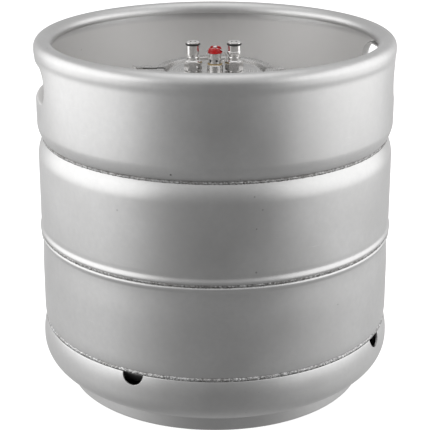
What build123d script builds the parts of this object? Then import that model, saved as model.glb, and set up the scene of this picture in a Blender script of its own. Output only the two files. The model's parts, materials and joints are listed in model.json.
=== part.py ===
"""A stainless steel beer keg with a clamped lid, two keg posts and a relief valve.

Millimetres, +Z up. The origin is on the floor, on the keg's centre line, and the front is -Y.
"""

import os
from math import acos, asin, atan2, cos, degrees, radians, sin, sqrt, tan

from build123d import *

os.makedirs("parts", exist_ok=True)

# ---------------------------------------------------------------- driving dimensions
keg_height = 393.0
rim_radius = 197.5  # outermost radius of the rolled rim
chime_radius = 196.6  # outside of the top chime's straight wall
bulge_radius = 197.5  # outside of the bottom chime at its widest
foot_radius = 168.5  # outside of the foot ring
chime_sheet = 2.0

upper_radius = 196.2  # outside of the upper shell
lower_radius = 195.6  # outside of the lower shell
shell_sheet = 1.6
seam_height = 176.5  # girth weld between the two shells
upper_shoulder = 262.0  # height where the upper head's knuckle starts
lower_shoulder = 86.0
knuckle_radius = 40.0
crown_radius = 500.0
seam_gap = 1.8

handle_length = 124.0
handle_height = 38.0
handle_centre_height = 349.0
handle_turn = 5.5  # degrees that the pair of handles is turned about the centre line
handle_lip_depth = 9.0

drain_turn = -26.0  # degrees from the front to the first drain hole, towards +X
drain_count = 4
drain_radius = 12.0
drain_height = 70.5  # centre of the half-round notches in the bottom chime's upper edge

lid_top = 351.0
flange_radius = 59.5
flange_edge = 2.9  # thickness of a flange at its outer edge
flange_taper = 20.0  # degrees
lid_thickness = 6.35
gasket_thickness = 1.8
neck_outer = 50.8
neck_inner = 48.7

post_spacing = 45.2
post_shift = -1.6  # the pair of posts stands a little off the middle of the lid
post_top = 383.2

valve_turn = -14.0  # degrees that the cap's slot is turned about the upright, from +X
valve_lift = 2.0
valve_hole_height = 375.5  # pull ring's hole in the valve stem
pull_ring_radius = 11.2
pull_ring_wire = 0.75
pull_ring_lean = 36.0  # degrees from straight down, towards the back
cap_base = 370.6

clamp_inner = 55.5
clamp_outer = 66.5
clamp_half_height = 9.8
hinge_x = 72.2
bolt_pivot = (-80.0, -10.0)
bolt_radius = 4.0
seat_radius = 23.0  # from the bolt's pivot to the ear's rounded nut seat
fit = 0.05  # radial running clearance

# ---------------------------------------------------------------- derived values
lid_bottom = lid_top - lid_thickness
flange_face = lid_bottom - gasket_thickness
clamp_middle = flange_face + gasket_thickness / 2
taper_slope = tan(radians(flange_taper))
lid_edge_top = lid_bottom + flange_edge
gas_x = post_shift - post_spacing / 2
liquid_x = post_shift + post_spacing / 2


def save(piece, name):
    """Label a finished piece and write its STEP file."""
    piece.part.label = name
    export_step(piece.part, f"parts/{name}.step")


def side_plane(x=0.0, y=0.0):
    """Upright plane through (x, y): its X is the radius to the right, its Y is height."""
    return Plane(origin=(x, y, 0), x_dir=(1, 0, 0), z_dir=(0, -1, 0))


def turned(outline, x=0.0, y=0.0):
    """Add a piece turned about the vertical line through (x, y) to the part being built."""
    with BuildSketch(side_plane(x, y)) as section:
        with BuildLine():
            Polyline(*outline, close=True)
        make_face()
    revolve(section.sketch, axis=Axis((x, y, 0), (0, 0, 1)))


def ring_solid(x, y, height, radius, wire, mode=Mode.ADD):
    """Add a level ring of round wire."""
    with BuildSketch(side_plane(x, y)) as section:
        with Locations((radius, height)):
            Circle(wire)
    revolve(section.sketch, axis=Axis((x, y, 0), (0, 0, 1)), mode=mode)


# ---------------------------------------------------------------- shells
def drawn_shell(plane, outer_radius, shoulder, waist_depth, waist_reach, hole_radius):
    """Half of the vessel. The plane's Y is the distance from the girth seam.

    A raised bead borders the seam, a shallow waist follows it, and the wall then runs straight
    to the knuckle and the crown of the head.
    """
    edge = seam_gap / 2
    bead_crest = 1.2
    waist_radius = outer_radius - waist_depth
    waist_height = 9.0
    knuckle_x = outer_radius - knuckle_radius
    crown_drop = sqrt((crown_radius - knuckle_radius) ** 2 - knuckle_x**2)
    crown_centre = shoulder - crown_drop
    meet_angle = degrees(atan2(crown_drop, knuckle_x))
    crown_inner = crown_radius - shell_sheet
    outer_end = degrees(acos(hole_radius / crown_radius))
    inner_end = degrees(acos(hole_radius / crown_inner))
    with BuildSketch(plane) as section:
        with BuildLine():
            Spline(
                (outer_radius - 0.6, edge),
                (outer_radius + bead_crest, 3.4),
                (waist_radius, waist_height),
                tangents=((0.6, 1), (0, 1)),
            )
            Spline(
                (waist_radius, waist_height),
                (outer_radius, waist_reach),
                tangents=((0, 1), (0, 1)),
            )
            Line((outer_radius, waist_reach), (outer_radius, shoulder))
            CenterArc((knuckle_x, shoulder), knuckle_radius, 0, meet_angle)
            outer_crown = CenterArc(
                (0, crown_centre), crown_radius, meet_angle, outer_end - meet_angle
            )
            inner_crown = CenterArc(
                (0, crown_centre), crown_inner, inner_end, meet_angle - inner_end
            )
            Line(outer_crown @ 1, inner_crown @ 0)
            CenterArc(
                (knuckle_x, shoulder), knuckle_radius - shell_sheet, meet_angle, -meet_angle
            )
            inner_radius = outer_radius - shell_sheet
            Line((inner_radius, shoulder), (inner_radius, waist_reach))
            Spline(
                (inner_radius, waist_reach),
                (waist_radius - shell_sheet, waist_height),
                tangents=((0, -1), (0, -1)),
            )
            Line((waist_radius - shell_sheet, waist_height), (waist_radius - shell_sheet, edge))
            Line((waist_radius - shell_sheet, edge), (outer_radius - 0.6, edge))
        make_face()
    revolve(section.sketch, axis=Axis.Z)


seam_up = Plane(origin=(0, 0, seam_height), x_dir=(1, 0, 0), z_dir=(0, -1, 0))
seam_down = Plane(origin=(0, 0, seam_height), x_dir=(1, 0, 0), z_dir=(0, 1, 0))

with BuildPart() as upper_shell:
    drawn_shell(seam_up, upper_radius, upper_shoulder - seam_height, 0.2, 14, neck_outer)
save(upper_shell, "upper_shell")

with BuildPart() as lower_shell:
    drawn_shell(seam_down, lower_radius, seam_height - lower_shoulder, 1.0, 45, 0)
save(lower_shell, "lower_shell")


# ---------------------------------------------------------------- chimes
def lean_radius(end_drop, end_height):
    """Radius of the arc that starts upright and moves in by end_drop over end_height."""
    return (end_drop**2 + end_height**2) / (2 * end_drop)


def handle_plane(side):
    """Plane facing out of one handle hole. Its X runs round the keg, its Y is height."""
    angle = radians(handle_turn + (0 if side > 0 else 180))
    return Plane(
        origin=(0, 0, handle_centre_height),
        x_dir=(-sin(angle), cos(angle), 0),
        z_dir=(cos(angle), sin(angle), 0),
    )


roll_radius = 9.9
roll_height = keg_height - roll_radius
roll_centre = rim_radius - roll_radius
rim_flare = 371.0  # height where the wall starts to flare out to the rim
rim_flare_top = 381.0
flare_arc = lean_radius((rim_radius - chime_radius) / 2, (rim_flare_top - rim_flare) / 2)
flare_angle = degrees(asin((rim_flare_top - rim_flare) / 2 / flare_arc))
chime_foot = (190.2, 284.5)  # lower edge of the top chime, in the groove
chime_curl_top = 301.5
chime_curl = lean_radius(chime_radius - chime_foot[0], chime_curl_top - chime_foot[1])
chime_curl_angle = degrees(asin((chime_curl_top - chime_foot[1]) / chime_curl))

# Each handle hole has a pressed lip that stands inwards.
with BuildPart() as handle_lips:
    for side in (1, -1):
        with BuildSketch(handle_plane(side)):
            SlotOverall(handle_length + 2 * chime_sheet, handle_height + 2 * chime_sheet)
            SlotOverall(handle_length, handle_height, mode=Mode.SUBTRACT)
        extrude(amount=rim_radius + 5)
    with BuildSketch(Plane.XY.offset(chime_curl_top)):
        Circle(chime_radius)
        Circle(chime_radius - handle_lip_depth, mode=Mode.SUBTRACT)
    extrude(amount=75, mode=Mode.INTERSECT)

with BuildPart() as top_chime:
    with BuildSketch(side_plane()):
        with BuildLine():
            CenterArc(
                (chime_radius - chime_curl, chime_curl_top),
                chime_curl,
                -chime_curl_angle,
                chime_curl_angle,
            )
            Line((chime_radius, chime_curl_top), (chime_radius, rim_flare))
            CenterArc((chime_radius + flare_arc, rim_flare), flare_arc, 180, -flare_angle)
            CenterArc((rim_radius - flare_arc, rim_flare_top), flare_arc, -flare_angle, flare_angle)
            Line((rim_radius, rim_flare_top), (rim_radius, roll_height))
            CenterArc((roll_centre, roll_height), roll_radius, 0, 180)
            Line(
                (roll_centre - roll_radius, roll_height),
                (roll_centre - roll_radius, roll_height - 2.5),
            )
            offset(amount=chime_sheet, side=Side.LEFT)
        make_face()
    revolve(axis=Axis.Z)
    # The holes are cut to the outside of their lips.
    for side in (1, -1):
        with BuildSketch(handle_plane(side)):
            SlotOverall(handle_length + 2 * chime_sheet, handle_height + 2 * chime_sheet)
        extrude(amount=rim_radius + 5, mode=Mode.SUBTRACT)
    add(handle_lips.part)
save(top_chime, "top_chime")

foot_width = 10.0
foot_curl = 2.6
foot_leg = 10.0
bulge_arc = 30.0
bulge_height = 48.5
bulge_centre = bulge_radius - bulge_arc
crease_angle = degrees(acos((foot_radius - bulge_centre) / bulge_arc))
bulge_straight = 51.0
bottom_chime_edge = (194.4, drain_height)  # upper edge of the bottom chime, in the groove
chime_lean = lean_radius(
    bulge_radius - bottom_chime_edge[0], bottom_chime_edge[1] - bulge_straight
)
chime_lean_angle = degrees(asin((bottom_chime_edge[1] - bulge_straight) / chime_lean))
foot_inner = foot_radius - foot_width

with BuildPart() as bottom_chime:
    with BuildSketch(side_plane()):
        with BuildLine():
            Line((foot_inner, foot_leg), (foot_inner, foot_curl))
            CenterArc((foot_inner + foot_curl, foot_curl), foot_curl, 180, 90)
            Line((foot_inner + foot_curl, 0), (foot_radius - foot_curl, 0))
            CenterArc((foot_radius - foot_curl, foot_curl), foot_curl, -90, 90)
            bulge = CenterArc((bulge_centre, bulge_height), bulge_arc, -crease_angle, crease_angle)
            Line((foot_radius, foot_curl), bulge @ 0)
            Line((bulge_radius, bulge_height), (bulge_radius, bulge_straight))
            CenterArc((bulge_radius - chime_lean, bulge_straight), chime_lean, 0, chime_lean_angle)
            offset(amount=chime_sheet, side=Side.LEFT)
        make_face()
    revolve(axis=Axis.Z)
    for index in range(drain_count):
        turn = radians(drain_turn + index * 360 / drain_count)
        outwards = (sin(turn), -cos(turn), 0)
        with BuildSketch(Plane(origin=(0, 0, drain_height), x_dir=(0, 0, 1), z_dir=outwards)):
            Circle(drain_radius)
        extrude(amount=bulge_radius + 5, mode=Mode.SUBTRACT)
save(bottom_chime, "bottom_chime")


# ---------------------------------------------------------------- welds on the outside
def weld_bead(radius, height, half_width, half_height, neighbours):
    """A bead round the keg that fills the groove between its neighbours."""
    with BuildSketch(side_plane()) as section:
        with Locations((radius, height)):
            Ellipse(half_width, half_height)
    revolve(section.sketch, axis=Axis.Z)
    for neighbour in neighbours:
        add(neighbour.part, mode=Mode.SUBTRACT)


with BuildPart() as girth_weld:
    weld_bead(lower_radius - 0.8, seam_height, 1.6, 2.4, (upper_shell, lower_shell))
save(girth_weld, "girth_weld")

with BuildPart() as top_chime_weld:
    weld_bead(189.9, 283.2, 1.1, 1.6, (upper_shell, top_chime))
save(top_chime_weld, "top_chime_weld")

with BuildPart() as bottom_chime_weld:
    weld_bead(193.6, 72.2, 1.2, 2.5, (lower_shell, bottom_chime))
save(bottom_chime_weld, "bottom_chime_weld")

# ---------------------------------------------------------------- neck, gasket and lid
gasket_bead_radius = 54.0
gasket_bead = 2.2

with BuildPart() as neck_ferrule:
    flange_under = flange_face - flange_edge
    turned(
        (
            (neck_inner, 320),
            (neck_outer, 320),
            (neck_outer, flange_under - (flange_radius - neck_outer) * taper_slope),
            (flange_radius, flange_under),
            (flange_radius, flange_face),
            (neck_inner, flange_face),
        )
    )
    ring_solid(0, 0, clamp_middle, gasket_bead_radius, gasket_bead, mode=Mode.SUBTRACT)
save(neck_ferrule, "neck_ferrule")

with BuildPart() as neck_weld:
    turned(((neck_outer, 326.0), (neck_outer + 3.4, 326.0), (neck_outer, 330.0)))
    add(upper_shell.part, mode=Mode.SUBTRACT)
save(neck_weld, "neck_weld")

with BuildPart() as lid_gasket:
    turned(
        (
            (neck_inner, flange_face),
            (flange_radius - 1.5, flange_face),
            (flange_radius - 1.5, lid_bottom),
            (neck_inner, lid_bottom),
        )
    )
    ring_solid(0, 0, clamp_middle, gasket_bead_radius, gasket_bead)
save(lid_gasket, "lid_gasket")

stub_radius = 7.15
valve_thread_radius = 4.95

with BuildPart() as lid:
    plateau = flange_radius - (lid_thickness - flange_edge) / taper_slope
    turned(
        (
            (0, lid_bottom),
            (flange_radius, lid_bottom),
            (flange_radius, lid_edge_top),
            (plateau, lid_top),
            (0, lid_top),
        )
    )
    ring_solid(0, 0, clamp_middle, gasket_bead_radius, gasket_bead, mode=Mode.SUBTRACT)
    with BuildSketch(Plane.XY.offset(lid_bottom)):
        with Locations((gas_x, 0), (liquid_x, 0)):
            Circle(stub_radius)
        Circle(valve_thread_radius)
    extrude(amount=lid_thickness, mode=Mode.SUBTRACT)
save(lid, "lid")

# ---------------------------------------------------------------- keg posts
hex_bottom = lid_top + 1.0
hex_top = hex_bottom + 9.8
hex_flats = 17.5
stub_top = hex_bottom + 7.6
oring_groove = 380.5
seal_seat = 377.6
flange_level = stub_top + 1.2
flange_top = flange_level + 1.2
poppet_head = 373.6


def build_post(x, has_bead, is_notched):
    """The hollow nut that the coupler is pushed on to."""
    barrel = 7.2
    bead = 7.7 if has_bead else barrel
    turned(
        (
            (stub_radius + fit, hex_bottom),
            (8.3, hex_bottom),
            (8.3, hex_top),
            (7.8, hex_top + 0.6),
            (6.9, hex_top + 1.4),
            (6.9, 365.0),
            (7.4, 365.5),
            (7.6, 366.4),
            (7.4, 367.2),
            (6.3, 367.8),
            (6.3, 368.8),
            (barrel, 369.6),
            (bead, 370.3),
            (bead, 372.4),
            (barrel, 373.2),
            (barrel, oring_groove - 1.25),
            (6.0, oring_groove - 1.25),
            (6.0, oring_groove + 1.25),
            (7.3, oring_groove + 1.25),
            (7.3, post_top - 0.5),
            (6.8, post_top),
            (3.3, post_top),
            (3.3, seal_seat + 1.8),
            (4.8, seal_seat),
            (4.8, 366.0),
            (5.6, 365.2),
            (5.6, stub_top + 1.0),
            (stub_radius + fit, stub_top + 1.0),
        ),
        x=x,
    )
    with BuildSketch(Plane.XY.offset(hex_bottom)) as hexagon:
        with Locations((x, 0)):
            RegularPolygon(hex_flats / 2, 6, major_radius=False)
            Circle(stub_radius + fit, mode=Mode.SUBTRACT)
    extrude(hexagon.sketch, amount=hex_top - hex_bottom)
    corner = hex_flats / sqrt(3)
    # The corners of the hexagon are chamfered at the top by a turned cutter.
    with BuildSketch(side_plane(x)) as cutter:
        with BuildLine():
            Polyline(
                (hex_flats / 2 - 0.1, hex_top + 0.01),
                (corner + 1, hex_top + 0.01),
                (corner + 1, hex_top - 1.3),
                close=True,
            )
        make_face()
    revolve(cutter.sketch, axis=Axis((x, 0, 0), (0, 0, 1)), mode=Mode.SUBTRACT)
    if is_notched:
        with BuildSketch(Plane.XY.offset(hex_bottom + 3.6)) as notches:
            with Locations((x, 0)):
                with PolarLocations(corner, 6, start_angle=0):
                    Rectangle(1.6, 2.2)
        extrude(notches.sketch, amount=2.4, mode=Mode.SUBTRACT)


def build_poppet(x):
    """Valve pin that stands in the mouth of a post."""
    nose = 2.4
    turned(
        (
            (0, 365.0),
            (1.2, 365.0),
            (1.6, 365.6),
            (1.6, poppet_head),
            (4.3, poppet_head),
            (4.3, poppet_head + 1.6),
            (nose, poppet_head + 1.6),
            (nose, post_top - 1.0),
            (nose - 0.8, post_top - 0.4),
            (0, post_top - 0.3),
        ),
        x=x,
    )


def build_spring(x, bottom, top, radius, wire, turns):
    """Compression spring, standing upright between two levels."""
    height = top - bottom - 2 * wire
    start = (x + radius, 0, bottom + wire)
    with BuildLine():
        coil = Helix(height / turns, height, radius, center=(x, 0, bottom + wire))
    with BuildSketch(Plane(origin=start, z_dir=coil % 0)) as section:
        Circle(wire)
    sweep(section.sketch, path=coil, is_frenet=True)


def build_post_set(label, x, has_bead, is_notched, tube_end):
    """Post, seals, poppet, spring and dip tube on one side of the lid."""
    with BuildPart() as stub:
        turned(
            (
                (4.1, lid_bottom - 4.6),
                (stub_radius, lid_bottom - 4.6),
                (stub_radius, stub_top),
                (4.1, stub_top),
            ),
            x=x,
        )
    save(stub, f"{label}_post_stub")

    with BuildPart() as post:
        build_post(x, has_bead, is_notched)
    save(post, f"{label}_post")

    with BuildPart() as post_oring:
        ring_solid(x, 0, oring_groove, 7.1, 1.08)
    save(post_oring, f"{label}_post_oring")

    with BuildPart() as poppet:
        build_poppet(x)
    save(poppet, f"{label}_poppet")

    with BuildPart() as poppet_seal:
        seal_bottom = poppet_head + 1.6
        turned(
            (
                (2.4, seal_bottom),
                (4.5, seal_bottom),
                (4.5, seal_seat - 0.4),
                (3.3, seal_seat + 1.0),
                (2.4, seal_seat + 1.0),
            ),
            x=x,
        )
    save(poppet_seal, f"{label}_poppet_seal")

    with BuildPart() as poppet_spring:
        build_spring(x, flange_top, poppet_head - 0.1, 3.4, 0.35, 5)
    save(poppet_spring, f"{label}_poppet_spring")

    with BuildPart() as dip_tube:
        turned(
            (
                (3.2, tube_end),
                (3.97, tube_end),
                (3.97, flange_level),
                (5.3, flange_level),
                (5.3, flange_top),
                (3.2, flange_top),
            ),
            x=x,
        )
    save(dip_tube, f"{label}_dip_tube")

    with BuildPart() as dip_tube_oring:
        ring_solid(x, 0, (stub_top + flange_level) / 2, 4.6, 0.6)
    save(dip_tube_oring, f"{label}_dip_tube_oring")


build_post_set("gas", gas_x, has_bead=False, is_notched=True, tube_end=326.0)
build_post_set("liquid", liquid_x, has_bead=True, is_notched=False, tube_end=26.0)

# ---------------------------------------------------------------- pressure relief valve
boss_radius = 9.0
boss_top = lid_top + 7.0
ring_seal_top = boss_top + 1.0
valve_radius = 7.1
vent_height = 362.8
vent_radius = 1.35
vent_count = 6
first_vent = 16.0

with BuildPart() as valve_boss:
    turned(
        (
            (valve_thread_radius, lid_top),
            (boss_radius, lid_top),
            (boss_radius, boss_top - 0.6),
            (boss_radius - 0.6, boss_top),
            (valve_thread_radius, boss_top),
        )
    )
save(valve_boss, "relief_valve_boss")

with BuildPart() as valve_seal_ring:
    turned(
        (
            (valve_thread_radius, boss_top),
            (8.2, boss_top),
            (8.2, ring_seal_top),
            (valve_thread_radius, ring_seal_top),
        )
    )
save(valve_seal_ring, "relief_valve_seal_ring")

with BuildPart() as valve_body:
    turned(
        (
            (1.9, lid_bottom + 1.0),
            (valve_thread_radius, lid_bottom + 1.0),
            (valve_thread_radius, ring_seal_top),
            (valve_radius - 0.4, ring_seal_top),
            (valve_radius, ring_seal_top + 0.4),
            (valve_radius, cap_base),
            (3.8, cap_base),
            (3.8, lid_bottom + 4.0),
            (1.9, lid_bottom + 4.0),
        )
    )
    for index in range(vent_count):
        turn = radians(first_vent + index * 360 / vent_count)
        outwards = (sin(turn), -cos(turn), 0)
        with BuildSketch(Plane(origin=(0, 0, vent_height), x_dir=(0, 0, 1), z_dir=outwards)):
            Circle(vent_radius)
        extrude(amount=valve_radius + 1, mode=Mode.SUBTRACT)
save(valve_body, "relief_valve_body")

seat_top = lid_bottom + 4.0
disc_bottom = seat_top + 1.6
disc_top = disc_bottom + 1.3
plug_bottom = cap_base - 1.0
rod_radius = 2.3
rod_top = 378.2
rod_bottom = 371.6
rod_bore = rod_radius + 0.3  # the cap's bore round the rod
ring_hole_radius = pull_ring_wire + 0.45  # leaves room for the ring's curve
slot_along = (cos(radians(valve_turn)), sin(radians(valve_turn)), 0)
slot_across = (-sin(radians(valve_turn)), cos(radians(valve_turn)), 0)


def slot_plane(height):
    """Upright plane along the cap's slot, with its origin on the centre line."""
    to_front = tuple(-part for part in slot_across)
    return Plane(origin=(0, 0, height), x_dir=slot_along, z_dir=to_front)


with BuildPart() as valve_seal:
    turned(((0, seat_top + 0.05), (3.3, seat_top + 0.05), (3.3, disc_bottom), (0, disc_bottom)))
save(valve_seal, "relief_valve_seal")

with BuildPart() as valve_stem:
    turned(
        (
            (0, disc_bottom),
            (3.4, disc_bottom),
            (3.4, disc_top),
            (1.1, disc_top),
            (1.1, rod_bottom),
            (rod_radius, rod_bottom),
            (rod_radius, rod_top - 0.6),
            (rod_radius - 0.6, rod_top),
            (0, rod_top),
        )
    )
    with BuildSketch(Plane(origin=(0, 0, valve_hole_height), x_dir=(0, 0, 1), z_dir=slot_along)):
        Circle(ring_hole_radius)
    extrude(amount=rod_radius + 1, both=True, mode=Mode.SUBTRACT)
save(valve_stem, "relief_valve_stem")

with BuildPart() as valve_spring:
    build_spring(0, disc_top, plug_bottom, 2.7, 0.45, 7)
save(valve_spring, "relief_valve_spring")

# The cap has an open slot across its top with a saddle-shaped floor, so that the pull ring can
# swing over it at any lift of the stem.
sweep_clearance = pull_ring_wire + 0.25
slot_half_width = 2.7
front_lobe_drop = 1.1  # how far the lobe in front of the slot stands below the other
cap_top = cap_base + 6.8
saddle_half_length = 9.0
with BuildPart() as valve_cap:
    turned(
        (
            (rod_bore, plug_bottom),
            (3.7, plug_bottom),
            (3.7, cap_base),
            (7.6, cap_base),
            (7.9, cap_base + 0.6),
            (7.5, cap_base + 4.0),
            (6.4, cap_top - 0.5),
            (5.8, cap_top),
            (rod_bore, cap_top),
        )
    )
    for lift in (0, valve_lift / 2, valve_lift):
        with BuildSketch(slot_plane(valve_hole_height + lift)) as saddle:
            with BuildLine():
                swing_arc = CenterArc(
                    (0, pull_ring_radius), pull_ring_radius - sweep_clearance, -142, 104
                )
                Line(swing_arc @ 1, ((swing_arc @ 1).X, 0))
                Line(((swing_arc @ 1).X, 0), ((swing_arc @ 0).X, 0))
                Line(((swing_arc @ 0).X, 0), swing_arc @ 0)
            make_face()
        revolve(
            saddle.sketch,
            axis=Axis((0, 0, valve_hole_height + lift), slot_along),
            mode=Mode.SUBTRACT,
        )
    with BuildSketch(slot_plane(valve_hole_height)) as slot:
        with Locations((0, (cap_top - valve_hole_height) / 2)):
            Rectangle(2 * saddle_half_length, cap_top - valve_hole_height + 2 * sweep_clearance)
    extrude(slot.sketch, amount=slot_half_width, both=True, mode=Mode.SUBTRACT)
    with BuildSketch(slot_plane(cap_top)) as front_top:
        Rectangle(2 * saddle_half_length, 2 * front_lobe_drop)
    extrude(front_top.sketch, amount=saddle_half_length, mode=Mode.SUBTRACT)
save(valve_cap, "relief_valve_cap")

with BuildPart() as pull_ring:
    lean = radians(pull_ring_lean)
    hang = (sin(lean) * slot_across[0], sin(lean) * slot_across[1], -cos(lean))
    ring_facing = (cos(lean) * slot_across[0], cos(lean) * slot_across[1], sin(lean))
    ring_centre = (
        pull_ring_radius * hang[0],
        pull_ring_radius * hang[1],
        valve_hole_height + pull_ring_radius * hang[2],
    )
    with BuildSketch(Plane(origin=ring_centre, x_dir=hang, z_dir=slot_along)) as wire_section:
        with Locations((pull_ring_radius, 0)):
            Circle(pull_ring_wire)
    revolve(wire_section.sketch, axis=Axis(ring_centre, ring_facing))
save(pull_ring, "relief_valve_pull_ring")

# ---------------------------------------------------------------- lid clamp
ear_inner = 5.3  # half the gap between an ear's two plates
ear_outer = 9.3
seam_play = 0.9
knuckle_outer = 5.0
hinge_pin_radius = 2.5
pivot_pin_radius = 3.0
rib_gap = 0.2
knuckle_split = 3.5
pivot_x = bolt_pivot[0]
pivot_y = bolt_pivot[1]


def clamp_ring():
    """Full C-section ring that the two halves are cut from."""
    top = clamp_middle + clamp_half_height
    bottom = clamp_middle - clamp_half_height
    groove = flange_radius + 0.8

    def contact(radius):
        return gasket_thickness / 2 + flange_edge + (flange_radius - radius) * taper_slope + fit

    turned(
        (
            (clamp_inner, clamp_middle + contact(clamp_inner)),
            (groove, clamp_middle + contact(groove)),
            (groove, clamp_middle - contact(groove)),
            (clamp_inner, clamp_middle - contact(clamp_inner)),
            (clamp_inner, bottom + 1.0),
            (clamp_inner + 1.0, bottom),
            (clamp_outer - 2.5, bottom),
            (clamp_outer, bottom + 2.5),
            (clamp_outer, top - 2.5),
            (clamp_outer - 2.5, top),
            (clamp_inner + 1.0, top),
            (clamp_inner, top - 1.0),
        )
    )


def keep_half(side):
    """Keep one half of the ring, with more room between the ends at the ears."""
    with BuildSketch(Plane.XY.offset(clamp_middle - 30)) as half:
        with BuildLine():
            Polyline(
                (90, side * seam_play),
                (0, side * seam_play),
                (0, side * 3.0),
                (-90, side * 3.0),
                (-90, side * 90),
                (90, side * 90),
                close=True,
            )
        make_face()
    extrude(half.sketch, amount=60, mode=Mode.INTERSECT)


def ear_levels():
    """Lower face of each ear plate."""
    return (clamp_middle + ear_inner, clamp_middle - ear_outer)


with BuildPart() as clamp_front_half:
    clamp_ring()
    keep_half(-1)
    for level in ear_levels():
        with BuildSketch(Plane.XY.offset(level)):
            with BuildLine():
                Polyline(
                    (-61, -3.5),
                    (pivot_x, pivot_y + 6.5),
                    (pivot_x, pivot_y - 6.5),
                    (-61, -20),
                    close=True,
                )
            make_face()
            with Locations(bolt_pivot):
                Circle(6.5)
                Circle(pivot_pin_radius + fit, mode=Mode.SUBTRACT)
        extrude(amount=ear_outer - ear_inner)
    for level in (clamp_middle + knuckle_split + rib_gap / 2, clamp_middle - ear_outer):
        with BuildSketch(Plane.XY.offset(level)):
            with Locations((hinge_x, 0)):
                Circle(knuckle_outer)
            with BuildLine():
                Polyline(
                    (61.5, -seam_play),
                    (hinge_x, -seam_play),
                    (hinge_x + 3, -4),
                    (61.5, -12),
                    close=True,
                )
            make_face()
            with Locations((hinge_x, 0)):
                Circle(hinge_pin_radius + fit, mode=Mode.SUBTRACT)
        extrude(amount=ear_outer - knuckle_split - rib_gap / 2)
save(clamp_front_half, "clamp_front_half")

with BuildPart() as clamp_rear_half:
    clamp_ring()
    keep_half(1)
    for level in ear_levels():
        seat_near = (-66.0, pivot_y + sqrt(seat_radius**2 - (pivot_x + 66.0) ** 2))
        seat_far = (-89.0, pivot_y + sqrt(seat_radius**2 - (pivot_x + 89.0) ** 2))
        with BuildSketch(Plane.XY.offset(level)):
            with BuildLine():
                ThreePointArc(seat_near, (pivot_x, pivot_y + seat_radius), seat_far)
                Polyline(seat_far, (-89, 5.5), (-87, 3.5), (-61, 3.5), (-61, seat_near[1]), seat_near)
            make_face()
        extrude(amount=ear_outer - ear_inner)
    with BuildSketch(Plane.XY.offset(clamp_middle - knuckle_split + rib_gap / 2)):
        with Locations((hinge_x, 0)):
            Circle(knuckle_outer)
        with BuildLine():
            Polyline(
                (61.5, seam_play), (hinge_x, seam_play), (hinge_x + 3, 4), (61.5, 12), close=True
            )
        make_face()
        with Locations((hinge_x, 0)):
            Circle(hinge_pin_radius + fit, mode=Mode.SUBTRACT)
    extrude(amount=2 * knuckle_split - rib_gap)
    # Room for the outer knuckles of the front half.
    for level in (clamp_middle + knuckle_split, clamp_middle - clamp_half_height - 1):
        with BuildSketch(Plane.XY.offset(level)):
            with Locations((hinge_x, 0)):
                Circle(knuckle_outer + 0.3)
        extrude(amount=clamp_half_height + 1 - knuckle_split, mode=Mode.SUBTRACT)
save(clamp_rear_half, "clamp_rear_half")


def build_pin(x, y, radius, half_length):
    """Upright pin with a low head at each end."""
    head = radius + 0.9
    turned(
        (
            (0, clamp_middle - half_length - 1.0),
            (head, clamp_middle - half_length - 1.0),
            (head, clamp_middle - half_length),
            (radius, clamp_middle - half_length),
            (radius, clamp_middle + half_length),
            (head, clamp_middle + half_length),
            (head, clamp_middle + half_length + 0.6),
            (head - 0.5, clamp_middle + half_length + 1.1),
            (0, clamp_middle + half_length + 1.1),
        ),
        x=x,
        y=y,
    )


with BuildPart() as clamp_hinge_pin:
    build_pin(hinge_x, 0, hinge_pin_radius, ear_outer)
save(clamp_hinge_pin, "clamp_hinge_pin")

with BuildPart() as clamp_bolt_pin:
    build_pin(pivot_x, pivot_y, pivot_pin_radius, ear_outer)
save(clamp_bolt_pin, "clamp_bolt_pin")

bolt_end = 35.0
eye_half_height = 5.0
washer_face = pivot_y + seat_radius + 0.1
washer_thickness = 1.6
nut_face = washer_face + washer_thickness
nut_length = 13.0
wing_span = 14.5
wing_tilt = 20.0


def bolt_plane(y):
    """Plane square to the swing bolt at a distance along it. Its normal points to the nut."""
    return Plane(origin=(pivot_x, y, clamp_middle), x_dir=(-1, 0, 0), z_dir=(0, 1, 0))


with BuildPart() as clamp_swing_bolt:
    with BuildSketch(bolt_plane(pivot_y)):
        Circle(bolt_radius)
    extrude(amount=bolt_end - pivot_y)
    chamfer(clamp_swing_bolt.edges().sort_by(Axis.Y)[-1], 0.8)
    with BuildSketch(Plane.XY.offset(clamp_middle - eye_half_height)):
        with Locations(bolt_pivot):
            Circle(6.0)
    extrude(amount=2 * eye_half_height)
    with BuildSketch(Plane.XY.offset(clamp_middle - eye_half_height)):
        with Locations(bolt_pivot):
            Circle(pivot_pin_radius + fit)
    extrude(amount=2 * eye_half_height, mode=Mode.SUBTRACT)
save(clamp_swing_bolt, "clamp_swing_bolt")

with BuildPart() as clamp_washer:
    with BuildSketch(bolt_plane(washer_face)):
        Circle(9.0)
        Circle(bolt_radius + fit, mode=Mode.SUBTRACT)
    extrude(amount=washer_thickness)
save(clamp_washer, "clamp_washer")

with BuildPart() as clamp_wing_nut:
    with BuildSketch(bolt_plane(nut_face)):
        Circle(8.2)
    extrude(amount=nut_length, taper=7)
    wing_turn = radians(wing_tilt)
    wing_plane = Plane(
        origin=(pivot_x, nut_face, clamp_middle),
        x_dir=(-cos(wing_turn), 0, sin(wing_turn)),
        z_dir=(sin(wing_turn), 0, cos(wing_turn)),
    )
    with BuildSketch(wing_plane):
        for side in (1, -1):
            with BuildLine():
                FilletPolyline(
                    (side * 2, -2.5),
                    (side * 9, -3.5),
                    (side * wing_span, -nut_length + 1),
                    (side * (wing_span - 4), -nut_length - 2),
                    (side * 6, -nut_length + 2),
                    (side * 2, -nut_length + 2),
                    radius=1.2,
                    close=True,
                )
            make_face()
    extrude(amount=1.7, both=True)
    with BuildSketch(bolt_plane(nut_face)):
        Circle(bolt_radius + fit)
    extrude(amount=nut_length + 1, mode=Mode.SUBTRACT)
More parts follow.
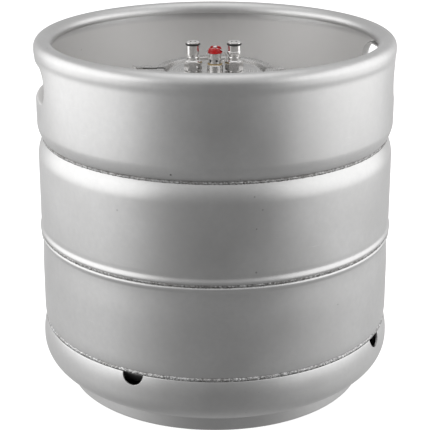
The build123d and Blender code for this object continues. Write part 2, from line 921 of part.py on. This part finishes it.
save(clamp_wing_nut, "clamp_wing_nut")
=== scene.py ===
"""Looks of a stainless steel beer keg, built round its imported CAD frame.

Metres, +Z up, front is -Y.
"""

import json
import math

import bpy
import numpy as np
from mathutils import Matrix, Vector, noise


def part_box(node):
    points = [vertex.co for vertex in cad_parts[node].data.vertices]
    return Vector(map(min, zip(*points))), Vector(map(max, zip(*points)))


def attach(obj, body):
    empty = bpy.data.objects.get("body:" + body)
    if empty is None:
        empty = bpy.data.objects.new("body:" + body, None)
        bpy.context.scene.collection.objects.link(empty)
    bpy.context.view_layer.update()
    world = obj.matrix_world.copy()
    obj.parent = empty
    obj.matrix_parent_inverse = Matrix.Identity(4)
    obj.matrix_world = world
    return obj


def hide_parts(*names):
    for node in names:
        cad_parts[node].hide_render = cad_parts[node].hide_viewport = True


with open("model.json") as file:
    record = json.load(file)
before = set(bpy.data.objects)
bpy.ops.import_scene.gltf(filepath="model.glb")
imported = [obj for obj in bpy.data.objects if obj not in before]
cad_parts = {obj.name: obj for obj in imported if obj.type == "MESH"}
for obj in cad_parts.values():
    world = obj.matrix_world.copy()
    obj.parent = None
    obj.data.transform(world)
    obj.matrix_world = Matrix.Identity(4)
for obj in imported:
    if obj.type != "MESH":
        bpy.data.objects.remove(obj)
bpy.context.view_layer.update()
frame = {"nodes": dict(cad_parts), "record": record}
nodes = frame["nodes"]

MM = 0.001
FINE_STEP = 0.5  # degrees between two columns of a turned piece
COLUMNS = round(360 / FINE_STEP)

# ---------------------------------------------------------------- sizes, in millimetres
keg_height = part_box("top_chime")[1].z / MM
rim_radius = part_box("top_chime")[1].x / MM
chime_radius = rim_radius - 0.9
chime_sheet = 2.0
shell_sheet = 1.6
upper_radius = rim_radius - 1.3
lower_radius = rim_radius - 1.9
seam_height = 176.5
upper_shoulder = 262.0
lower_shoulder = 86.0
knuckle_radius = 40.0
crown_radius = 500.0
neck_radius = 50.8
bulge_radius = rim_radius
foot_radius = 168.5

handle_length = 124.0
handle_height = 38.0
handle_centre_height = 349.0
handle_turn = 5.5  # degrees that the pair of handles is turned about the centre line
handle_roll = 4.0  # radius that the edge of a handle hole is rolled in with
handle_lip_depth = 9.0

drain_turn = -26.0  # degrees from the front to the first drain hole, towards +X
drain_count = 4
drain_radius = 12.0
drain_height = 70.5

# The lip that each shell has beside the girth seam: offset from the shell's radius, and
# distance from the seam
lip_start = (-0.6, 0.9)
lip_top = (1.2, 3.4)
lip_end = 9  # distance from the seam at which the lip has run out into the waist


# ---------------------------------------------------------------- mesh helpers
def arc(centre, radius, start, end, count=12):
    """Points on an arc in the (radius, height) half plane, angles in degrees."""
    angles = np.radians(np.linspace(start, end, count))
    return [(centre[0] + radius * math.cos(a), centre[1] + radius * math.sin(a)) for a in angles]


def lean_radius(drop, rise):
    """Radius of the arc that starts upright and moves in by drop over rise."""
    return (drop**2 + rise**2) / (2 * drop)


def make_mesh(name, points, faces, soft_angle=40):
    """A smooth-shaded mesh object from points in millimetres."""
    mesh = bpy.data.meshes.new(name)
    mesh.from_pydata((np.array(points, float) * MM).tolist(), [], faces)
    mesh.validate()
    mesh.shade_smooth()
    mesh.set_sharp_from_angle(angle=math.radians(soft_angle))
    piece = bpy.data.objects.new(name, mesh)
    bpy.context.scene.collection.objects.link(piece)
    return piece


def thicken(piece, thickness):
    """Give an open sheet its thickness, on the side away from its normals."""
    sheet = piece.modifiers.new("sheet", "SOLIDIFY")
    sheet.thickness = thickness * MM
    sheet.offset = -1
    sheet.use_even_offset = True
    bevel = piece.modifiers.new("edge", "BEVEL")
    bevel.width = 0.35 * MM
    bevel.segments = 2
    bevel.limit_method = "ANGLE"
    bevel.angle_limit = math.radians(50)
    return piece


def stand_for(piece, body, slot, material, *replaced):
    """Attach a finished piece to its body, in place of the CAD nodes that it shows."""
    piece.data.materials.append(material)
    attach(piece, body)
    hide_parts(*replaced)
    return piece


def even_turns():
    return np.radians(np.arange(COLUMNS) * FINE_STEP)


def turned_faces(columns, rows, closed=False, skipped=()):
    """Quads of a turned grid whose points are listed column by column."""
    faces = []
    for column in range(columns):
        here = column * rows
        there = (column + 1) % columns * rows
        for row in range(rows if closed else rows - 1):
            if (column, row) not in skipped:
                above = (row + 1) % rows
                faces.append((here + row, there + row, there + above, here + above))
    return faces


def turned_sheet(name, outline):
    """Turn an open outline, listed so that the outside is on its right, about the keg's axis."""
    points = [(r * math.cos(t), r * math.sin(t), z) for t in even_turns() for r, z in outline]
    return make_mesh(name, points, turned_faces(COLUMNS, len(outline)))


# ---------------------------------------------------------------- node helpers
def add_node(tree, kind, inputs=None, **settings):
    """Add a shader node. A socket among the inputs is linked, and a value is set."""
    made = tree.nodes.new(kind)
    for key, value in settings.items():
        setattr(made, key, value)
    for key, value in (inputs or {}).items():
        if isinstance(value, bpy.types.NodeSocket):
            tree.links.new(value, made.inputs[key])
        else:
            made.inputs[key].default_value = value
    return made


def math_node(tree, operation, first, second=0.0):
    return add_node(tree, "ShaderNodeMath", {0: first, 1: second}, operation=operation).outputs[0]


def ranged(tree, value, low, high, to_low, to_high, curve="LINEAR"):
    """The value, mapped from one range to another and held inside it."""
    return add_node(
        tree,
        "ShaderNodeMapRange",
        {"Value": value, 1: low, 2: high, 3: to_low, 4: to_high},
        interpolation_type=curve,
    ).outputs[0]


def mixed(tree, factor, first, second):
    """The first colour at factor 0 and the second at factor 1."""
    made = add_node(tree, "ShaderNodeMix", {0: factor, 6: first, 7: second}, data_type="RGBA")
    return made.outputs[2]


def place(tree, scale=(1, 1, 1)):
    """Coordinates fixed to the piece, stretched by scale."""
    coordinates = add_node(tree, "ShaderNodeTexCoord").outputs["Object"]
    return add_node(tree, "ShaderNodeMapping", {"Vector": coordinates, "Scale": scale}).outputs[0]


def noise_at(tree, vector, scale, detail=3.0, roughness=0.5):
    inputs = {"Vector": vector, "Scale": scale, "Detail": detail, "Roughness": roughness}
    return add_node(tree, "ShaderNodeTexNoise", inputs).outputs["Fac"]


def axis_distance(tree, at):
    """Distance of a point from the keg's axis."""
    flat = add_node(tree, "ShaderNodeVectorMath", {0: at, 1: (1, 1, 0)}, operation="MULTIPLY")
    length = add_node(tree, "ShaderNodeVectorMath", {0: flat.outputs[0]}, operation="LENGTH")
    return length.outputs[1]


def new_material(name):
    material = bpy.data.materials.new(name)
    material.use_nodes = True
    tree = material.node_tree
    return material, tree, tree.nodes["Principled BSDF"]


def connect(tree, shader, **sockets):
    """Link or set the shader's sockets, named with _ for a space."""
    for key, value in sockets.items():
        socket = shader.inputs[key.replace("_", " ")]
        if isinstance(value, bpy.types.NodeSocket):
            tree.links.new(value, socket)
        else:
            socket.default_value = value


def bumped(tree, height, strength, distance):
    inputs = {"Height": height, "Strength": strength, "Distance": distance}
    return add_node(tree, "ShaderNodeBump", inputs).outputs[0]


def grey(level, warmth=0.0):
    """A neutral colour, a little warmer or colder."""
    return (level * (1 + warmth), level, level * (1 - warmth), 1)


# ---------------------------------------------------------------- materials
well_floor = (0.300, 0.304)  # metres, heights between which the mask of the well begins
well_top = (0.368, 0.374)  # metres, heights between which it ends
wall_blend = 0.0003  # metres on each side of the middle of the chime's wall


def inside_of_well(tree):
    """1 on the head and on the inside of the top chime's wall, and 0 elsewhere: where the well
    gets painted light and a rougher finish.
    """
    at = add_node(tree, "ShaderNodeTexCoord").outputs["Object"]
    height = add_node(tree, "ShaderNodeSeparateXYZ", {0: at}).outputs["Z"]
    wall_middle = (chime_radius - chime_sheet / 2) * MM
    inner, outer = wall_middle - wall_blend, wall_middle + wall_blend
    within = ranged(tree, axis_distance(tree, at), inner, outer, 1, 0)
    above = ranged(tree, height, *well_floor, 0, 1)
    under_rim = ranged(tree, height, *well_top, 1, 0)
    return math_node(tree, "MULTIPLY", math_node(tree, "MULTIPLY", within, above), under_rim)


def satin_steel():
    """Blasted stainless steel: soft blotches, fine grain, thin scratches and a few dark specks,
    with painted light in the well, where the steel is also rougher.
    """
    material, tree, shader = new_material("satin_steel")
    at = place(tree)
    blotch = noise_at(tree, at, 11, 4)
    grain = noise_at(tree, at, 900, 2, 0.7)
    mottle = noise_at(tree, at, 160, 3, 0.6)
    blotches = ranged(tree, blotch, 0.35, 0.65, 0, 1)
    colour = mixed(tree, blotches, grey(0.60, 0.006), grey(0.66, 0.003))
    colour = mixed(tree, ranged(tree, mottle, 0.3, 0.75, 0, 0.35), colour, grey(0.55))
    scratch_at = place(tree, (1, 1, 42))
    scratch = ranged(tree, noise_at(tree, scratch_at, 26, 5, 0.65), 0.67, 0.73, 0, 0.5)
    colour = mixed(tree, scratch, colour, grey(0.8))
    speck = add_node(
        tree, "ShaderNodeTexVoronoi", {"Vector": at, "Scale": 95.0, "Randomness": 1.0}
    )
    picked = ranged(tree, speck.outputs["Color"], 0.66, 0.68, 0, 1)
    near = ranged(tree, speck.outputs["Distance"], 0.07, 0.11, 1, 0)
    patch = ranged(tree, noise_at(tree, at, 14, 2), 0.56, 0.66, 0, 1)
    dark = math_node(tree, "MULTIPLY", math_node(tree, "MULTIPLY", picked, near), patch)
    colour = mixed(tree, dark, colour, grey(0.12, 0.03))
    # Painted light: on the head and the inside of the chime's wall the colour is blended towards a
    # pale warm grey, which stands in for the light that falls into the well. The same mask makes
    # the steel there rougher.
    painted_well_light_and_matt = inside_of_well(tree)
    colour = mixed(tree, math_node(tree, "MULTIPLY", painted_well_light_and_matt, 0.75), colour, grey(0.84, 0.012))
    broad = ranged(tree, blotch, 0.3, 0.7, 0.36, 0.42)
    fine = ranged(tree, grain, 0.2, 0.8, -0.03, 0.05)
    rough = math_node(tree, "ADD", broad, fine)
    rough = math_node(tree, "ADD", rough, math_node(tree, "MULTIPLY", painted_well_light_and_matt, 0.11))
    normal = bumped(tree, grain, 0.10, 0.0004)
    connect(tree, shader, Base_Color=colour, Metallic=1.0, Roughness=rough, Normal=normal)
    return material


def weld_steel(name, dark, bright):
    """Unpolished weld: coarse, uneven and heat-darkened."""
    material, tree, shader = new_material(name)
    at = place(tree)
    lumps = noise_at(tree, at, 420, 4, 0.7)
    tint = noise_at(tree, at, 60, 3)
    colour = mixed(tree, ranged(tree, lumps, 0.42, 0.66, 0, 1), dark, bright)
    colour = mixed(tree, ranged(tree, tint, 0.45, 0.7, 0, 0.35), colour, (0.20, 0.18, 0.165, 1))
    rough = ranged(tree, lumps, 0.3, 0.7, 0.28, 0.55)
    normal = bumped(tree, lumps, 0.6, 0.0012)
    connect(tree, shader, Base_Color=colour, Metallic=1.0, Roughness=rough, Normal=normal)
    return material


def polished_steel():
    """Turned and polished steel with faint lathe lines and handling marks."""
    material, tree, shader = new_material("polished_steel")
    at = place(tree)
    lines = noise_at(tree, place(tree, (1, 1, 40)), 90, 3, 0.6)
    smudge = noise_at(tree, at, 130, 3)
    marked = ranged(tree, smudge, 0.35, 0.7, 0, 1)
    colour = mixed(tree, marked, grey(0.74, 0.012), grey(0.66, 0.02))
    broad = ranged(tree, smudge, 0.3, 0.7, 0.10, 0.19)
    fine = ranged(tree, lines, 0.3, 0.7, 0, 0.05)
    rough = math_node(tree, "ADD", broad, fine)
    normal = bumped(tree, lines, 0.06, 0.0002)
    connect(tree, shader, Base_Color=colour, Metallic=1.0, Roughness=rough, Normal=normal)
    return material


def lid_steel():
    """Pressed and polished steel with concentric streaks."""
    material, tree, shader = new_material("lid_steel")
    coordinates = add_node(tree, "ShaderNodeTexCoord").outputs["Object"]
    inputs = {"W": axis_distance(tree, coordinates), "Scale": 900.0, "Detail": 3.0}
    streak = add_node(tree, "ShaderNodeTexNoise", inputs, noise_dimensions="1D").outputs["Fac"]
    smudge = noise_at(tree, coordinates, 45, 3)
    streaks = ranged(tree, streak, 0.35, 0.65, 0, 1)
    colour = mixed(tree, streaks, grey(0.56, 0.01), grey(0.74, 0.01))
    broad = ranged(tree, smudge, 0.3, 0.7, 0.16, 0.27)
    fine = ranged(tree, streak, 0.3, 0.7, -0.03, 0.05)
    rough = math_node(tree, "ADD", broad, fine)
    normal = bumped(tree, streak, 0.12, 0.0004)
    connect(tree, shader, Base_Color=colour, Metallic=1.0, Roughness=rough, Normal=normal)
    return material


def cast_clamp_steel():
    """Cast and tumbled steel: fine pits, slightly darker than the sheet."""
    material, tree, shader = new_material("cast_clamp_steel")
    at = place(tree)
    pits = noise_at(tree, at, 700, 3, 0.7)
    tint = noise_at(tree, at, 35, 3)
    colour = mixed(tree, ranged(tree, tint, 0.35, 0.7, 0, 1), grey(0.58, 0.01), grey(0.46, 0.03))
    rough = ranged(tree, pits, 0.3, 0.7, 0.22, 0.36)
    normal = bumped(tree, pits, 0.15, 0.0005)
    connect(tree, shader, Base_Color=colour, Metallic=1.0, Roughness=rough, Normal=normal)
    return material


def spring_steel():
    """Bright drawn wire with faint draw marks."""
    material, tree, shader = new_material("spring_steel")
    marks = noise_at(tree, place(tree), 800, 2)
    colour = mixed(tree, ranged(tree, marks, 0.35, 0.65, 0, 1), grey(0.70, 0.01), grey(0.80))
    rough = ranged(tree, marks, 0.3, 0.7, 0.14, 0.24)
    connect(tree, shader, Base_Color=colour, Metallic=1.0, Roughness=rough)
    return material


def soft_material(name, dark, light, roughness, grain_scale):
    """Rubber, silicone or seal: two close tones and a fine grain."""
    material, tree, shader = new_material(name)
    at = place(tree)
    grain = noise_at(tree, at, grain_scale, 3)
    tone = noise_at(tree, at, grain_scale / 12, 3)
    colour = mixed(tree, ranged(tree, tone, 0.35, 0.65, 0, 1), dark, light)
    rough = ranged(tree, grain, 0.3, 0.7, roughness - 0.06, roughness + 0.06)
    normal = bumped(tree, grain, 0.12, 0.0003)
    connect(tree, shader, Base_Color=colour, Roughness=rough, Normal=normal)
    return material


def red_plastic():
    """Glossy moulded red plastic with a faint flow pattern."""
    material, tree, shader = new_material("red_plastic")
    at = place(tree)
    flow = noise_at(tree, at, 160, 3)
    grain = noise_at(tree, at, 1500, 2)
    flowed = ranged(tree, flow, 0.35, 0.7, 0, 1)
    colour = mixed(tree, flowed, (0.62, 0.012, 0.012, 1), (0.46, 0.008, 0.010, 1))
    rough = ranged(tree, grain, 0.3, 0.7, 0.18, 0.30)
    normal = bumped(tree, grain, 0.05, 0.0002)
    connect(tree, shader, Base_Color=colour, Roughness=rough, Normal=normal)
    return material


materials = {
    "satin_steel": satin_steel(),
    "weld_steel": weld_steel("weld_steel", grey(0.16, 0.02), grey(0.66)),
    "polished_steel": polished_steel(),
    "cast_clamp_steel": cast_clamp_steel(),
    "spring_steel": spring_steel(),
    "black_rubber": soft_material("black_rubber", grey(0.004), grey(0.010), 0.34, 1200),
    "pale_silicone": soft_material(
        "pale_silicone", grey(0.62, 0.02), grey(0.72, 0.02), 0.5, 900
    ),
    "tan_seal": soft_material(
        "tan_seal", (0.42, 0.28, 0.10, 1), (0.56, 0.40, 0.17, 1), 0.45, 900
    ),
    "red_plastic": red_plastic(),
}
special = {"lid": lid_steel()}
bright_weld = weld_steel("bright_weld", grey(0.26), grey(0.95))

for entry in frame["record"]["subparts"]:
    shown = nodes[entry["node"]]
    shown.data.materials.clear()
    shown.data.materials.append(special.get(entry["node"], materials[entry["material_slot"]]))


# ---------------------------------------------------------------- shells
def shell_outline(radius, side, shoulder, waist_depth, waist_reach, hole):
    """Outer line of half of the vessel, from the girth seam to the middle of its head."""
    line = []
    for step in np.linspace(0, 1, 6)[:-1]:
        out = (lip_top[0] - lip_start[0]) * math.sin(step * math.pi / 2)
        away = lip_start[1] + (lip_top[1] - lip_start[1]) * step
        line.append((radius + lip_start[0] + out, away))
    for step in np.linspace(0, 1, 9)[:-1]:
        fall = (1 - math.cos(step * math.pi)) / 2
        r = radius + lip_top[0] - (lip_top[0] + waist_depth) * fall
        line.append((r, lip_top[1] + (lip_end - lip_top[1]) * step))
    for step in np.linspace(0, 1, 9):
        rise = (1 - math.cos(step * math.pi)) / 2
        away = lip_end + (waist_reach - lip_end) * step
        line.append((radius - waist_depth * (1 - rise), away))
    for step in np.linspace(0, 1, 14)[1:-1]:
        line.append((radius, waist_reach + (shoulder - waist_reach) * step))
    middle = radius - knuckle_radius
    drop = math.sqrt((crown_radius - knuckle_radius) ** 2 - middle**2)
    meet = math.degrees(math.atan2(drop, middle))
    line += arc((middle, shoulder), knuckle_radius, 0, meet, 24)
    end = math.degrees(math.acos(hole / crown_radius))
    line += arc((0, shoulder - drop), crown_radius, meet, end, 24)[1:]
    line = [(r, seam_height + side * away) for r, away in line]
    return line if side > 0 else line[::-1]


upper_line = shell_outline(upper_radius, 1, upper_shoulder - seam_height, 0.2, 14, neck_radius)
upper_shell = thicken(turned_sheet("upper_shell_sheet", upper_line), shell_sheet)
stand_for(upper_shell, "keg", "satin_steel", materials["satin_steel"], "upper_shell")

lower_line = shell_outline(lower_radius, -1, seam_height - lower_shoulder, 1.0, 45, 0.5)
lower_shell = thicken(turned_sheet("lower_shell_sheet", lower_line), shell_sheet)
stand_for(lower_shell, "keg", "satin_steel", materials["satin_steel"], "lower_shell")

# ---------------------------------------------------------------- top chime
roll_radius = 9.9
roll_height = keg_height - roll_radius
roll_centre = rim_radius - roll_radius
rim_flare = 371.0
rim_flare_top = 381.0
chime_foot = (190.2, 284.5)
chime_curl_top = 301.5
half_drop = (rim_radius - chime_radius) / 2
half_rise = (rim_flare_top - rim_flare) / 2
flare_arc = lean_radius(half_drop, half_rise)
WALL_STEP = 2.0  # height between two rows of the chime's wall
wall_low = 307.0  # first and last row of the wall
wall_high = 381.0
roll_tail = 2.5  # straight end of the rolled rim
PATCH_REACH = 23  # degrees of the patch round a handle hole, on each side of its middle


def wall_radius(height):
    """Outside radius of the top chime's wall, which flares out a little below the rim."""
    up = min(max(height - rim_flare, 0), 2 * half_rise)
    if up <= half_rise:
        return chime_radius + flare_arc - math.sqrt(flare_arc**2 - up**2)
    return rim_radius - flare_arc + math.sqrt(flare_arc**2 - (2 * half_rise - up) ** 2)


def top_chime_sheet():
    """The chime's outer face as one sheet, with two rolled-in handle holes."""
    curl = lean_radius(chime_radius - chime_foot[0], chime_curl_top - chime_foot[1])
    curl_angle = math.degrees(math.asin((chime_curl_top - chime_foot[1]) / curl))
    line = arc((chime_radius - curl, chime_curl_top), curl, -curl_angle, 0, 14)
    wall = [(wall_radius(z), z) for z in np.arange(wall_low, wall_high + 0.01, WALL_STEP)]
    first = len(line)
    last = first + len(wall) - 1
    line += wall
    line += arc((roll_centre, roll_height), roll_radius, 0, 180, 32)
    line.append((roll_centre - roll_radius, roll_height - roll_tail))
    rows = len(line)
    points = [(r * math.cos(t), r * math.sin(t), z) for t in even_turns() for r, z in line]
    reach = round(PATCH_REACH / FINE_STEP)
    skipped = set()
    patches = []
    for side in (0, 180):
        middle = round((handle_turn + side) / FINE_STEP)
        span = [(middle + k) % COLUMNS for k in range(-reach, reach + 1)]
        skipped |= {(column, row) for column in span[:-1] for row in range(first, last)}
        loop = [(column, first) for column in span]
        loop += [(span[-1], row) for row in range(first + 1, last + 1)]
        loop += [(column, last) for column in span[-2::-1]]
        loop += [(span[0], row) for row in range(last - 1, first, -1)]
        patches.append((math.radians(handle_turn + side), loop))
    faces = turned_faces(COLUMNS, rows, skipped=skipped)
    spine = (handle_length - handle_height) / 2
    half = handle_height / 2
    for turn, loop in patches:
        ring = [column * rows + row for column, row in loop]
        edge = []
        for index in ring:
            x, y, z = points[index]
            across = y * math.cos(turn) - x * math.sin(turn)
            edge.append((across, z - handle_centre_height))
        stations = [("wall", share) for share in np.linspace(0, 1, 9)[1:]]
        stations += [("roll", angle) for angle in np.radians(np.linspace(0, 90, 8)[1:])]
        stations += [("lip", share) for share in np.linspace(0, 1, 4)[1:]]
        for kind, value in stations:
            fresh = []
            for across, up in edge:
                core = min(max(across, -spine), spine)
                away = math.hypot(across - core, up)
                out_across, out_up = (across - core) / away, up / away
                if kind == "wall":
                    depth = 0.0
                    gap = (away - half) * (1 - value) + handle_roll * value
                elif kind == "roll":
                    gap = handle_roll * (1 - math.sin(value))
                    depth = handle_roll * (1 - math.cos(value))
                else:
                    gap = 0.0
                    depth = handle_roll + (handle_lip_depth - handle_roll) * value
                s = core + out_across * (half + gap)
                z = out_up * (half + gap) + handle_centre_height
                outward = math.sqrt((wall_radius(z) - depth) ** 2 - s**2)
                x = outward * math.cos(turn) - s * math.sin(turn)
                y = outward * math.sin(turn) + s * math.cos(turn)
                fresh.append(len(points))
                points.append((x, y, z))
            for k in range(len(ring)):
                k_next = (k + 1) % len(ring)
                faces.append((ring[k], ring[k_next], fresh[k_next], fresh[k]))
            ring = fresh
    return make_mesh("top_chime_sheet", points, faces)


top_chime = thicken(top_chime_sheet(), chime_sheet)
stand_for(top_chime, "keg", "satin_steel", materials["satin_steel"], "top_chime")

# ---------------------------------------------------------------- bottom chime
foot_width = 10.0
foot_curl = 2.6
foot_leg = 10.0  # height of the foot's inner leg
foot_rows = (6.0, 12.0, 16.0)  # heights of the rows on the foot's upright faces
drain_lead = 0.05  # how far beside a drain notch an extra column stands
bulge_arc = 30.0
bulge_height = 48.5
bulge_straight = 51.0
bottom_edge = (194.4, drain_height)


def bottom_chime_sheet():
    """The lower chime's outer face, from inside its foot up to the edge with the drain notches."""
    foot_inner = foot_radius - foot_width
    centre = bulge_radius - bulge_arc
    crease = math.degrees(math.acos((foot_radius - centre) / bulge_arc))
    lean = lean_radius(bulge_radius - bottom_edge[0], bottom_edge[1] - bulge_straight)
    line = [(foot_inner, foot_leg), (foot_inner, foot_rows[0])]
    line += arc((foot_inner + foot_curl, foot_curl), foot_curl, 180, 270, 8)
    line += arc((foot_radius - foot_curl, foot_curl), foot_curl, -90, 0, 8)
    line += [(foot_radius, z) for z in foot_rows]
    line += arc((centre, bulge_height), bulge_arc, -crease, 0, 30)
    fixed = len(line)
    shares = np.linspace(0, 1, 16)
    turns = set(np.arange(COLUMNS) * FINE_STEP)
    drains = [drain_turn - 90 + k * 360 / drain_count for k in range(drain_count)]
    for middle in drains:
        for s in drain_radius * np.sin(np.radians(np.linspace(-90, 90, 25))):
            turns.add((middle + math.degrees(s / bottom_edge[0])) % 360)
        for s in (-drain_radius - drain_lead, drain_radius + drain_lead):
            turns.add((middle + math.degrees(s / bottom_edge[0])) % 360)
    turns = sorted(turns)
    points = []
    for turn in turns:
        top = bottom_edge[1]
        for middle in drains:
            s = math.radians((turn - middle + 180) % 360 - 180) * bottom_edge[0]
            if abs(s) <= drain_radius + 0.001:
                top = drain_height - math.sqrt(max(drain_radius**2 - s**2, 0))
        t = math.radians(turn)
        for r, z in line:
            points.append((r * math.cos(t), r * math.sin(t), z))
        for share in shares:
            up = (top - bulge_straight) * share
            r = bulge_radius - lean + math.sqrt(lean**2 - up**2)
            points.append((r * math.cos(t), r * math.sin(t), bulge_straight + up))
    faces = turned_faces(len(turns), fixed + len(shares))
    return make_mesh("bottom_chime_sheet", points, faces)


bottom_chime = thicken(bottom_chime_sheet(), chime_sheet)
stand_for(bottom_chime, "keg", "satin_steel", materials["satin_steel"], "bottom_chime")


# ---------------------------------------------------------------- welds
ripple_pitch = 95  # ripples of the beads: steps of noise round the keg
ripple_girth = 2.2
fine_ripple = 2.7  # pitch and share of the finer ripple
fine_share = 0.6
MOST_SWELL = 1.25


def weld_bead(name, radius, height, half_width, half_height, roughness, seed):
    """A bead round the keg with uneven ripples."""
    columns = 2 * COLUMNS
    rows = 14
    points = []
    for t in np.linspace(0, 2 * math.pi, columns, endpoint=False):
        around = Vector((math.cos(t), math.sin(t), 0))
        for angle in np.linspace(0, 2 * math.pi, rows, endpoint=False):
            at = around * ripple_pitch + Vector((0, 0, ripple_girth * math.sin(angle) + seed))
            coarse = noise.noise(at)
            fine = noise.noise(at * fine_ripple + Vector((seed, 0, 0)))
            swell = min(1 + roughness * (coarse + fine_share * fine), MOST_SWELL)
            r = radius + half_width * math.cos(angle) * swell
            z = height + half_height * math.sin(angle) * swell
            points.append((r * around.x, r * around.y, z))
    return make_mesh(name, points, turned_faces(columns, rows, closed=True), soft_angle=75)


# node, radius, height, half width, half height, roughness, seed
welds = (
    ("girth_weld", lower_radius - 0.8, seam_height, 1.5, 2.3, 0.30, 3.0),
    ("top_chime_weld", 189.9, 283.2, 1.3, 1.7, 0.35, 11.0),
    ("bottom_chime_weld", 193.5, 72.3, 1.2, 1.9, 0.45, 23.0),
)
for node, *shape in welds:
    bead = weld_bead(node + "_bead", *shape)
    look = bright_weld if node == "bottom_chime_weld" else materials["weld_steel"]
    stand_for(bead, "keg", "weld_steel", look, node)


# ---------------------------------------------------------------- floor, light and camera
FLOOR_RADIUS = 14.0  # metres, like the other three
FLOOR_DEPTH = 0.0004
SHADED_DEPTH = 0.0002
SHADED_INSET = 0.006


def flat_disc(name, radius, height):
    """A level disc of radius and height in metres."""
    turns = np.radians(np.arange(0, 360, 5))
    points = [(radius * math.cos(t) / MM, radius * math.sin(t) / MM, height / MM) for t in turns]
    return make_mesh(name, points, [tuple(range(len(points)))])


def floor_material(name, glow):
    material, tree, shader = new_material(name)
    tone = noise_at(tree, place(tree), 3, 2)
    colour = mixed(tree, ranged(tree, tone, 0.3, 0.7, 0, 1), grey(0.80), grey(0.84))
    connect(tree, shader, Base_Color=colour, Roughness=0.9)
    connect(tree, shader, Emission_Color=(1, 1, 1, 1), Emission_Strength=glow)
    return material


floor = flat_disc("floor", FLOOR_RADIUS, -FLOOR_DEPTH)
floor.data.materials.append(floor_material("pale_floor", 0.75))
floor.visible_glossy = False
shaded_floor = flat_disc("floor_under_keg", foot_radius * MM - SHADED_INSET, -SHADED_DEPTH)
shaded_floor.data.materials.append(floor_material("shaded_floor", 0.0))


def softbox(name, location, target, size, power, tone=(1, 1, 1)):
    light = bpy.data.lights.new(name, "AREA")
    light.shape = "RECTANGLE"
    light.size, light.size_y = size
    light.energy = power
    light.color = tone
    lamp = bpy.data.objects.new(name, light)
    lamp.location = location
    lamp.rotation_mode = "QUATERNION"
    lamp.rotation_quaternion = (Vector(target) - Vector(location)).to_track_quat("-Z", "Y")
    lamp.visible_camera = False
    bpy.context.scene.collection.objects.link(lamp)
    return lamp


softbox("left_softbox", (-1.25, -0.35, 0.55), (0, -0.35, 0.2), (2.4, 1.3), 10.5)
softbox("right_softbox", (1.25, -0.30, 0.55), (0, -0.30, 0.2), (2.4, 1.3), 9)
softbox("top_softbox", (0, 0.1, 1.9), (0, 0, 0.3), (1.4, 1.4), 2.6)


DARK_TURN = 7  # degrees from the front, towards +X, of the world's darkest direction
DARK_DIP = 17  # degrees of the same below the horizon
CAMERA_DIP = 17.32


def studio_world():
    """Pale studio, darkest behind the camera and a little dimmer below and behind the keg."""
    world = bpy.data.worlds.new("studio")
    world.use_nodes = True
    tree = world.node_tree
    direction = add_node(tree, "ShaderNodeTexCoord").outputs["Generated"]
    turn = math.radians(DARK_TURN)
    dip = math.radians(DARK_DIP)
    front = (math.sin(turn) * math.cos(dip), -math.cos(turn) * math.cos(dip), -math.sin(dip))
    facing = add_node(
        tree, "ShaderNodeVectorMath", {0: direction, 1: front}, operation="DOT_PRODUCT"
    ).outputs["Value"]
    shade = ranged(tree, facing, 0.30, 1.0, 0.72, 0.20)
    behind = ranged(tree, facing, -1.0, -0.5, 0.85, 1.0, "SMOOTHSTEP")
    upward = add_node(tree, "ShaderNodeSeparateXYZ", {0: direction}).outputs["Z"]
    below = ranged(tree, upward, -1.0, -0.55, 0.52, 1.0, "SMOOTHSTEP")
    level = math_node(tree, "MULTIPLY", math_node(tree, "MULTIPLY", shade, behind), below)
    background = tree.nodes["Background"]
    tree.links.new(level, background.inputs["Strength"])
    background.inputs["Color"].default_value = (1, 1, 1, 1)
    bpy.context.scene.world = world


studio_world()

camera_data = bpy.data.cameras.new("camera")
camera_data.sensor_width = 36
camera_data.lens = 106.7
camera_data.shift_y = -0.14
camera_data.clip_start = 0.01
camera = bpy.data.objects.new("camera", camera_data)
camera.location = (0, -1.368, 0.680)
camera.rotation_euler = (math.radians(90 - CAMERA_DIP), 0, 0)
bpy.context.scene.collection.objects.link(camera)
bpy.context.scene.camera = camera
bpy.context.scene.view_settings.view_transform = "Standard"
